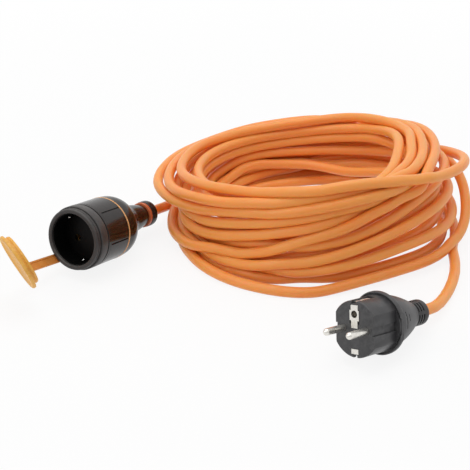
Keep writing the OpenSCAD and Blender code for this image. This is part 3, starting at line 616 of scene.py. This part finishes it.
def deselect():
    if bpy.context.mode != "OBJECT":
        bpy.ops.object.mode_set(mode="OBJECT")
    bpy.ops.object.select_all(action="DESELECT")


def picked(piece):
    """Only this piece selected and active."""
    deselect()
    piece.select_set(True)
    bpy.context.view_layer.objects.active = piece
    return piece


def arc(r, z, radius, start, end, steps=6):
    """Points of an arc about (r, z), in radius and height."""
    return [(r + radius * cos(radians(start + (end - start) * k / steps)),
             z + radius * sin(radians(start + (end - start) * k / steps))) for k in range(steps + 1)]


def turned(name, outline, sides, closed=True):
    """A piece spun round Z: its outline, in radius and height, is extruded point by point."""
    deselect()
    r, z = outline[0]
    bpy.ops.mesh.primitive_plane_add(size=1, location=(r, 0, z))
    piece = bpy.context.object
    piece.name = name
    bpy.ops.object.transform_apply(location=True, rotation=True, scale=True)
    bpy.ops.object.mode_set(mode="EDIT")
    bpy.ops.mesh.merge(type="CENTER")
    for r1, z1 in outline[1:]:
        bpy.ops.mesh.extrude_vertices_move(TRANSFORM_OT_translate={"value": (r1 - r, 0, z1 - z)})
        r, z = r1, z1
    if closed:
        bpy.ops.object.mode_set(mode="OBJECT")
        verts = piece.data.vertices
        for v in verts:
            v.select = v.index in (0, len(verts) - 1)
        bpy.ops.object.mode_set(mode="EDIT")
        bpy.ops.mesh.edge_face_add()
    bpy.ops.mesh.select_all(action="SELECT")
    bpy.ops.mesh.spin(steps=sides, angle=2 * pi, use_auto_merge=True, center=(0, 0, 0), axis=(0, 0, 1))
    tidy_mesh()
    return piece


def tidy_mesh():
    """Merges what lies on each other and turns the faces outwards, in edit mode."""
    bpy.ops.mesh.select_all(action="SELECT")
    bpy.ops.mesh.remove_doubles(threshold=0.0005)
    bpy.ops.mesh.normals_make_consistent(inside=False)
    bpy.ops.object.mode_set(mode="OBJECT")


def block(x0, x1, y0, y1, z0, z1, turn=0.0):
    """A block between two corners, turned about Z by so many degrees; for cuts and as a start."""
    deselect()
    bpy.ops.mesh.primitive_cube_add(size=1, location=((x0 + x1) / 2, (y0 + y1) / 2, (z0 + z1) / 2),
                                    scale=(x1 - x0, y1 - y0, z1 - z0))
    piece = bpy.context.object
    bpy.ops.object.transform_apply(location=True, rotation=True, scale=True)
    if turn:
        placed(piece, Matrix.Rotation(radians(turn), 4, "Z"))
    return piece


def pair_x(near, far, y0, y1, z0, z1):
    """A block on the right of the middle and its mirror image on the left."""
    return [block(near, far, y0, y1, z0, z1), block(-far, -near, y0, y1, z0, z1)]


def pair_y(x0, x1, near, far, z0, z1):
    """A block over the middle and its mirror image under it."""
    return [block(x0, x1, near, far, z0, z1), block(x0, x1, -far, -near, z0, z1)]


def rod(x, y, radius, top, bottom, sides=48):
    """A round bar along Z; for cuts and as a start."""
    deselect()
    bpy.ops.mesh.primitive_cylinder_add(vertices=sides, radius=radius, depth=top - bottom,
                                        location=(x, y, (top + bottom) / 2))
    piece = bpy.context.object
    bpy.ops.object.transform_apply(location=True, rotation=True, scale=True)
    return piece


def sector(r0, r1, z0, z1, middle, sweep):
    """A piece of a ring between two radii and two heights, about a bearing; for cuts."""
    deselect()
    bpy.ops.mesh.primitive_plane_add(size=1, location=((r0 + r1) / 2, 0, (z0 + z1) / 2),
                                     rotation=(pi / 2, 0, 0))
    piece = bpy.context.object
    piece.scale = (r1 - r0, z1 - z0, 1)
    bpy.ops.object.transform_apply(location=True, rotation=True, scale=True)
    placed(piece, Matrix.Rotation(radians(middle - sweep / 2), 4, "Z"))
    bpy.ops.object.mode_set(mode="EDIT")
    bpy.ops.mesh.select_all(action="SELECT")
    bpy.ops.mesh.spin(steps=12, angle=-radians(sweep), center=(0, 0, 0), axis=(0, 0, 1))
    tidy_mesh()
    return piece


def bent_strip(points, width, thickness):
    """A sheet strip of some width along X, bent through points in Y and Z."""
    deselect()
    y, z = points[0]
    bpy.ops.mesh.primitive_plane_add(size=1, location=(-width / 2, y, z))
    piece = bpy.context.object
    bpy.ops.object.transform_apply(location=True, rotation=True, scale=True)
    bpy.ops.object.mode_set(mode="EDIT")
    bpy.ops.mesh.merge(type="CENTER")
    for y1, z1 in points[1:]:
        bpy.ops.mesh.extrude_vertices_move(TRANSFORM_OT_translate={"value": (0, y1 - y, z1 - z)})
        y, z = y1, z1
    bpy.ops.mesh.select_all(action="SELECT")
    bpy.ops.mesh.extrude_region_move(TRANSFORM_OT_translate={"value": (width, 0, 0)})
    tidy_mesh()
    return modified(piece, "SOLIDIFY", thickness=thickness, offset=0)


def placed(piece, place):
    """Puts a piece at a place that ends up in its mesh."""
    piece.matrix_world = place
    picked(piece)
    bpy.ops.object.transform_apply(location=True, rotation=True, scale=True)
    return piece


def copied(piece, place):
    """A copy with a mesh of its own, moved by place."""
    picked(piece)
    bpy.ops.object.duplicate()
    return placed(bpy.context.object, place)


def modified(piece, kind, **settings):
    """Adds a modifier with its settings and applies it."""
    picked(piece)
    modifier = piece.modifiers.new(kind.lower(), kind)
    for name, value in settings.items():
        setattr(modifier, name, value)
    bpy.ops.object.modifier_apply(modifier=modifier.name)
    return piece


def combined(piece, others, how):
    for other in others:
        modified(piece, "BOOLEAN", operation=how, object=other, solver="EXACT")
        bpy.data.objects.remove(other)
    return piece


def cut(piece, *cutters):
    return combined(piece, cutters, "DIFFERENCE")


def joined(piece, *others):
    return combined(piece, others, "UNION")


def rounded(piece, width, segments=2, angle=35):
    return modified(piece, "BEVEL", width=width, segments=segments, limit_method="ANGLE",
                    angle_limit=radians(angle), use_clamp_overlap=True)


def finished(piece, name, place, body, material, slot, *nodes, smooth=32):
    """Smooths and places a piece, gives it its finish, and lets it ride on its body for its solids."""
    piece.name = piece.data.name = name
    placed(piece, place)
    bpy.ops.object.shade_smooth_by_angle(angle=radians(smooth))
    piece.data.materials.clear()
    piece.data.materials.append(material)
    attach(piece, body)
    if nodes:
        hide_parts(*nodes)
    return piece


def strap_barrel():
    """The barrel of a strap's hinge: as thick as the strap, and lying across it."""
    barrel = rod(0, 0, STRAP_T / 2, STRAP_W / 2, -STRAP_W / 2, 40)
    return placed(barrel, Matrix.Rotation(radians(90), 4, "X"))


# ---- coupler ----------------------------------------------------------------------------------------


def coupler_collar():
    """The mouth's rounded lip, its front ring, and the collar behind it with the slot for the tether."""
    collar = turned("collar", [
        (19.8, -2.5), (19.8, -1.6), *arc(21.1, -1.3, 1.3, 180, 90, 6), *arc(22.0, -1.2, 1.2, 90, 0, 6),
        (23.2, -1.9), (22.75, -2.2), (22.75, -2.6), (23.2, -2.9), (23.2, -4.75), (22.9, -5.0),
        (23.6, -5.0), *arc(23.6, -5.8, 0.8, 90, 0, 5), (24.4, -11.9), (24.1, -12.5),
        (22.4, -12.5), (22.4, -5.5), (21.1, -5.5), (21.1, -2.5)], 160)
    slot = block(21.0, 25.6, -3.7, 3.7, -13.5, -6.0, STRAP_BEARING)
    cut(collar, slot)
    finished(collar, "collar", coupler, "cord_body", collar_plastic, "collar_grey", "coupler_collar")


def grip():
    """The grip's glossy shell, with six moulded channels along it and a fine step at each end."""
    shell = turned("grip", [
        (23.5, -12.5), (23.5, -13.4), (23.9, -13.4), (24.3, -13.75), (24.3, -15.2), (24.18, -15.35),
        (24.18, -15.6), (24.3, -15.75), (24.3, -37.6), (24.0, -38.0), (22.4, -38.0), (22.4, -17.4),
        (21.1, -17.4), (21.1, -12.5)], 180)
    channel = block(23.3, 25.3, -0.6, 0.6, -39.0, -16.4)
    rounded(channel, 0.3, 3)
    cuts = [copied(channel, Matrix.Rotation(radians(a), 4, "Z")) for a in range(-30, 330, 60)]
    bpy.data.objects.remove(channel)
    cut(shell, *cuts)
    finished(shell, "grip", coupler, "cord_body", grip_plastic, "grip_black", "grip_shell", smooth=25)


def rear_shell():
    """The rear cover: rim, rounded shoulder, cone, neck and the groove before the gland."""
    rim, shoulder, sweep = 24.0, 19, 42
    cover = turned("rear_shell", [
        (23.7, -39.2), (rim, -39.5), *arc(rim - shoulder, -43.2, shoulder, 0, -sweep, 14), (12.9, -64.6),
        (12.1, -66.2), (11.6, -68.2), (11.2, -71.0), (10.7, -74.5), (10.0, -78.5), (9.2, -82.3),
        (8.75, -84.6), (8.5, NECK_END), (8.1, NECK_END), (8.1, -85.81), (7.4, -85.81), (7.4, -92.51),
        (5.8, -92.51), (5.8, -65.91), (9.8, -62.91), (16.32, -55.91), (20.36, -49.5), (22.4, -43.2),
        (22.4, -39.2)], 160)
    finished(cover, "rear_shell", coupler, "cord_body", grip_plastic, "grip_black", "rear_cover")


def rings():
    """The coloured ring between the shells, and the one in front of the union nut."""
    accent = turned("accent", [(22.4, -38.0), (24.15, -38.0), (24.4, -38.2), (24.4, -39.0), (24.15, -39.2),
                               (22.4, -39.2)], 160)
    finished(accent, "accent", coupler, "cord_body", accent_plastic, "accent_orange", "accent_ring")
    gland = turned("gland", [(7.5, -85.81), (9.6, -85.81), (10.0, -86.2), (10.0, -88.2), (9.6, -88.61),
                             (7.5, -88.61)], 128)
    # The gland ring takes the accent orange with painted shade.
    finished(gland, "gland", coupler, "cord_body", gland_orange_painted_shade, "accent_orange", "gland_ring")


def union_nut():
    """The nut: a plain barrel with a rounded tail, a fine line round it and a hole for the cord."""
    nut = turned("nut", [
        (7.7, -88.81), *arc(9.5, -89.61, 0.8, 90, 0, 4), (10.3, -90.7), (10.1, -90.9), (10.1, -91.2),
        (10.3, -91.4), *arc(7.1, -93.61, 3.2, 0, -90, 8), (4.7, NUT_END),
        *arc(4.7, -96.51, 0.3, -90, -180, 3), (4.4, -93.51), (7.7, -93.51)], 144)
    finished(nut, "nut", coupler, "nut", grip_plastic, "grip_black", "union_nut")


def closing_cap():
    """The cap: a disc with a raised rim and a dished middle outside, a plug with a sealing bead inside,
    and the neck and knuckle of its hinge."""
    middle = -23.0
    cap = turned("cap", [
        (0, 0.75), (17.2, 0.75), (18.0, 1.2), (20.8, 1.2), (21.5, 0.5), (21.5, -0.9), (21.2, -1.2),
        (18.9, -1.2), (18.9, -2.6), (19.1, -2.9), (19.1, -3.3), (18.9, -3.6), (18.9, -4.2), (18.3, -4.8),
        (16.9, -4.8), (16.9, -1.6), (0, -1.6)], 144, closed=False)
    placed(cap, Matrix.Translation((middle, 0, 0)))
    neck = block(-3.4, 0.1, -STRAP_W / 2, STRAP_W / 2, -STRAP_T / 2, STRAP_T / 2)
    joined(cap, neck, strap_barrel())
    rounded(cap, 0.18)
    place = strap_root @ Matrix.Translation((0, 0, CAP_REACH)) @ Matrix.Rotation(radians(CAP_OPEN), 4, "Y")
    finished(cap, "cap_disc", place, "cap", cap_rubber, "cap_orange", "mouth_cap")


def strap():
    """The strap: a flat band with rounded edges, a rib along each side and a barrel at its root."""
    band = block(-STRAP_T / 2, STRAP_T / 2, -STRAP_W / 2, STRAP_W / 2, 0, 44.0)
    cut(band, *pair_x(0.45, 1.2, -2.3, 2.3, 3.1, 41.3))
    joined(band, strap_barrel())
    rounded(band, 0.2, 3)
    finished(band, "strap_band", strap_root, "strap", strap_rubber, "strap_orange", "cap_strap")


def earth_springs():
    """The earth bracket: a cross strip behind the insert, and two legs with bent tips that spring into
    the mouth."""
    y, t = LEG_Y, 0.6
    bracket = block(-3.0, 3.0, -y, y, CROSS_Z - t / 2, CROSS_Z + t / 2)
    legs = []
    for side in (0, 180):
        leg = bent_strip([(y, CROSS_Z), (y, -12.0), (y - 2.3, -7.1), (y - 2.6, -6.5), (y - 2.3, -5.9),
                          (y - 0.9, -4.2)], 2.2, t)
        legs.append(placed(leg, Matrix.Rotation(radians(side), 4, "Z")))
    joined(bracket, *legs)
    rounded(bracket, 0.12, 2)
    finished(bracket, "earth_springs", coupler, "cord_body", bright_plate, "nickel", "earth_bracket")


coupler_collar()
grip()
rear_shell()
rings()
union_nut()
closing_cap()
strap()
earth_springs()

# ---- plug -------------------------------------------------------------------------------------------


def plug_face():
    """The front block: flats with guide channels, the earth grooves with the notch in front of each, the
    seat of the earth plate with its two pits, and the holes of the pins and of the mate's earth pin."""
    face = turned("face", [(0, 0), (18.1, 0), (18.6, -0.15), (19.0, -0.7), (19.0, -23.0), (0, -23.0)], 144,
                  closed=False)
    flats = pair_x(15.7, 25, -25, 25, -24, 1)
    channels = pair_x(14.5, 25, -3, 3, -24, 1)
    cut(face, *flats)
    rounded(face, 0.5, 3, 25)
    cavity = rod(0, 0, 13.6, -4, -24, 96)
    grooves = [*pair_y(-3.1, 3.1, 16.8, 25, -18, -3.0),
               block(-2.2, 2.2, 16.8, 25, -4, 1), block(-1.7, 1.7, -25, -16.8, -4, 1),
               *pair_y(-3.1, 3.1, 0, 25, -17.1, -16.1)]
    seats = [block(-2.9, 2.9, 0.6, 6.0, -0.55, 1), block(-4, 4, 4.4, 13, -0.55, 1),
             block(-3.2, 3.2, 12, 16.3, -0.55, 1), block(-3.1, 3.1, -16.5, -12.9, -0.55, 1)]
    pits = pair_x(2.9, 4, 3.6, 5.6, -2.4, 1)
    holes = [rod(PIN_X, 0, 2.25, 1, -5), rod(-PIN_X, 0, 2.25, 1, -5), rod(0, 10, 3.0, 1, -5)]
    cut(face, *channels, cavity, *grooves, *seats, *pits, *holes)
    rounded(face, 0.15, 2)
    finished(face, "face_block", plug, "cord_body", plug_rubber, "plug_rubber", "plug_front", smooth=40)


def cone_radius(z):
    """Radius of the cone behind the flange."""
    end, growth, curve = 9.4, 9.2, 1.6
    return end + growth * (1 - ((CONE_TOP - z) / CONE_LENGTH) ** curve)


def plug_back():
    """The flange with a groove in front, and the cone behind it with short grip slots on both sides."""
    steps = 24
    heights = [CONE_TOP - CONE_LENGTH * k / steps for k in range(steps + 1)]
    back = turned("back", [
        (13.6, -23.0), (19.2, -23.0), (19.2, -24.2), (20.1, -24.2), (20.3, -23.1),
        *arc(20.5, -24.0, 1.0, 90, 0, 5), (21.5, -25.6), *arc(20.6, -25.6, 0.9, 0, -90, 5),
        *[(cone_radius(z), z) for z in heights], (9.2, -56.0), (6.2, -56.0), (6.2, -50.0), (8.2, -46.0),
        (13.6, -30.5)], 144)
    cut(back, *pair_x(19.4, 30, -30, 30, -26.6, -20))
    slots = []
    for z, middle, sweep in ((-29.4, 31, 14), (-33.0, 8, 38), (-37.0, 12, 17)):
        r = cone_radius(z)
        slots += [sector(r - 0.7, r + 1, z - 0.4, z + 0.4, middle + side, sweep) for side in (0, 180)]
    cut(back, *slots)
    rounded(back, 0.25, 2, 30)
    finished(back, "back_shell", plug, "cord_body", plug_rubber, "plug_rubber", "plug_rear", smooth=30)


def relief():
    """The strain relief: three rows of slots, and a rounded end that the cord leaves by."""
    sleeve = turned("relief", [
        (4.1, -50.0), (6.1, -50.0), (6.1, -56.0), (8.7, -56.0), (9.0, -56.3),
        *arc(5.0, -67.0, 4.0, 0, -90, 10), (4.4, RELIEF_END), (4.1, -70.7)], 112)
    cut(sleeve, *[sector(6.6, 10.5, z - 0.65, z + 0.65, middle, 45)
                  for z in (-57.8, -60.5, -63.2) for middle in range(-19, 341, 60)])
    rounded(sleeve, 0.2, 2)
    finished(sleeve, "relief", plug, "cord_body", relief_rubber, "relief_rubber", "strain_relief", smooth=35)


def pins():
    """Two pins: a straight shank with a rounded tip, turned from the bar."""
    pin = turned("pin", [
        (0, -18.0), (1.4, -18.0), (1.5, -17.8), (1.5, -13.0), (2.2, -13.0), (2.2, 0.05), (2.3, 0.05),
        (2.4, 0.15), (2.4, 15.8), *arc(0.6, 16.6, 1.8, 0, 75, 8), (0.6, 18.95), (0, 19.0)], 64, closed=False)
    other = copied(pin, Matrix.Translation((PIN_X, 0, 0)))
    placed(pin, Matrix.Translation((-PIN_X, 0, 0)))
    finished(other, "pin_live", plug, "cord_body", nickel_plate, "nickel", "plug_pin_live")
    finished(pin, "pin_neutral", plug, "cord_body", nickel_plate, "nickel", "plug_pin_neutral")


def earth_contacts():
    """The bent strip: the plate on the face with its round hole and rounded top, and the sprung contacts
    that run back along the two grooves."""
    t, front, back = 0.8, 0.25, -17.0
    plate = block(-3.8, 3.8, 5.8, 12.6, front - t, front)
    narrow = block(-2.6, 2.6, 0.8, 7.0, front - t, front)
    up = block(-3.0, 3.0, 11.0, 16.1, front - t, front)
    rounded(up, 1.5, 4, 60)
    lip = block(-2.9, 2.9, -16.4, -13.1, front - t, front)
    legs = [*pair_y(-2.0, 2.0, 15.0, 15.8, -4.2, front - 0.2), *pair_y(-2.0, 2.0, 15.0, 17.7, -4.2, -3.4),
            *pair_y(-2.9, 2.9, 16.9, 17.7, back, -3.4), block(-2.9, 2.9, -17.7, 17.7, back, back + t)]
    joined(plate, narrow, up, *legs, lip)
    cut(plate, rod(0, 10, 2.45, 2, -3, 64))
    rounded(plate, 0.25, 3)
    finished(plate, "earth_plate", plug, "cord_body", nickel_plate, "nickel", "earth_strip", smooth=35)


plug_face()
plug_back()
relief()
pins()
earth_contacts()

# ---- solids that show as they are, with their finish ------------------------------------------------


def dress(material, *names):
    """Gives solids their material."""
    for name in names:
        solid = frame["nodes"][name]
        solid.data.materials.clear()
        solid.data.materials.append(material)


# The insert takes its black with painted shade for the deep mouth.
dress(insert_black_painted_shade, "contact_insert")
dress(brass_metal, "contact_tube_live", "contact_tube_neutral", "plug_crimps")
dress(nickel_plate, "terminal_screws", "gland_washer", "earth_sleeve")
dress(cap_rubber, "tether_band")
dress(relief_rubber, "gland_bush")
dress(carrier_plastic, "plug_bridge")
dress(core_finish["core_brown"], "coupler_core_live", "plug_core_live")
dress(core_finish["core_blue"], "coupler_core_neutral", "plug_core_neutral")
dress(core_finish["core_green"], "coupler_core_earth", "plug_core_earth")
